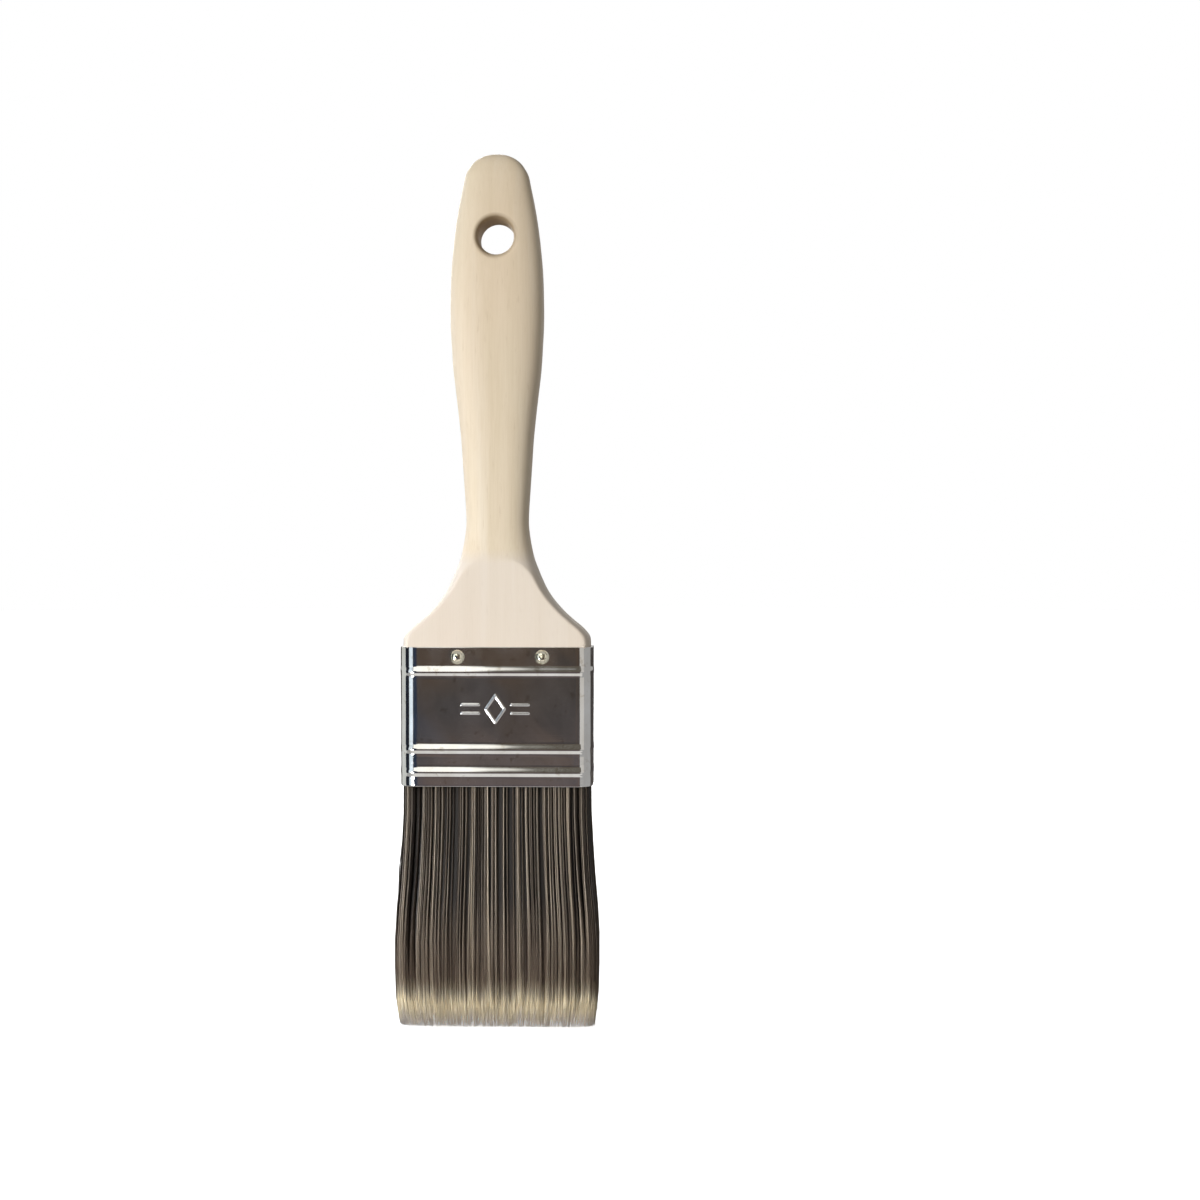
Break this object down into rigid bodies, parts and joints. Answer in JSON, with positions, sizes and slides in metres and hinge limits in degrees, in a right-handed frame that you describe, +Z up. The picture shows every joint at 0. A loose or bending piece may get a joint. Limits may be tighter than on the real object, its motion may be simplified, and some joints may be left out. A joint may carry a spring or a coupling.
{
  "type": "flat paint brush",
  "caption": "Flat varnish brush with a shaped wooden handle, a hanging hole, a beaded metal ferrule and pale-tipped synthetic filaments, for painting and varnishing.",
  "frame": {"origin": "centre of the hanging hole, midway between the handle's front and back", "axes": "+Z up the handle to its rounded end, -Y out of the front face that carries the stamped mark, +X to the right seen from the front"},
  "size_m": [0.0532, 0.0174, 0.2268],
  "materials": {
    "handle_wood": "bare sanded pale hardwood, matte with a slight sheen",
    "plated_steel": "bright nickel-plated sheet",
    "nail_metal": "bright plated, slightly warm",
    "plug_wood": "rough sawn softwood",
    "resin": "amber cast resin",
    "filament": "dark brown and grey filament, fading to cream at the tips"
  },
  "bodies": {
    "root": {"handle": "handle_wood", "ferrule": "plated_steel", "nail_front_left": "nail_metal", "nail_front_right": "nail_metal", "nail_back_left": "nail_metal", "nail_back_right": "nail_metal", "spacer_plug": "plug_wood", "resin_setting": "resin", "filament_pack_front": "filament", "filament_pack_back": "filament"}
  },
  "joints": []
}
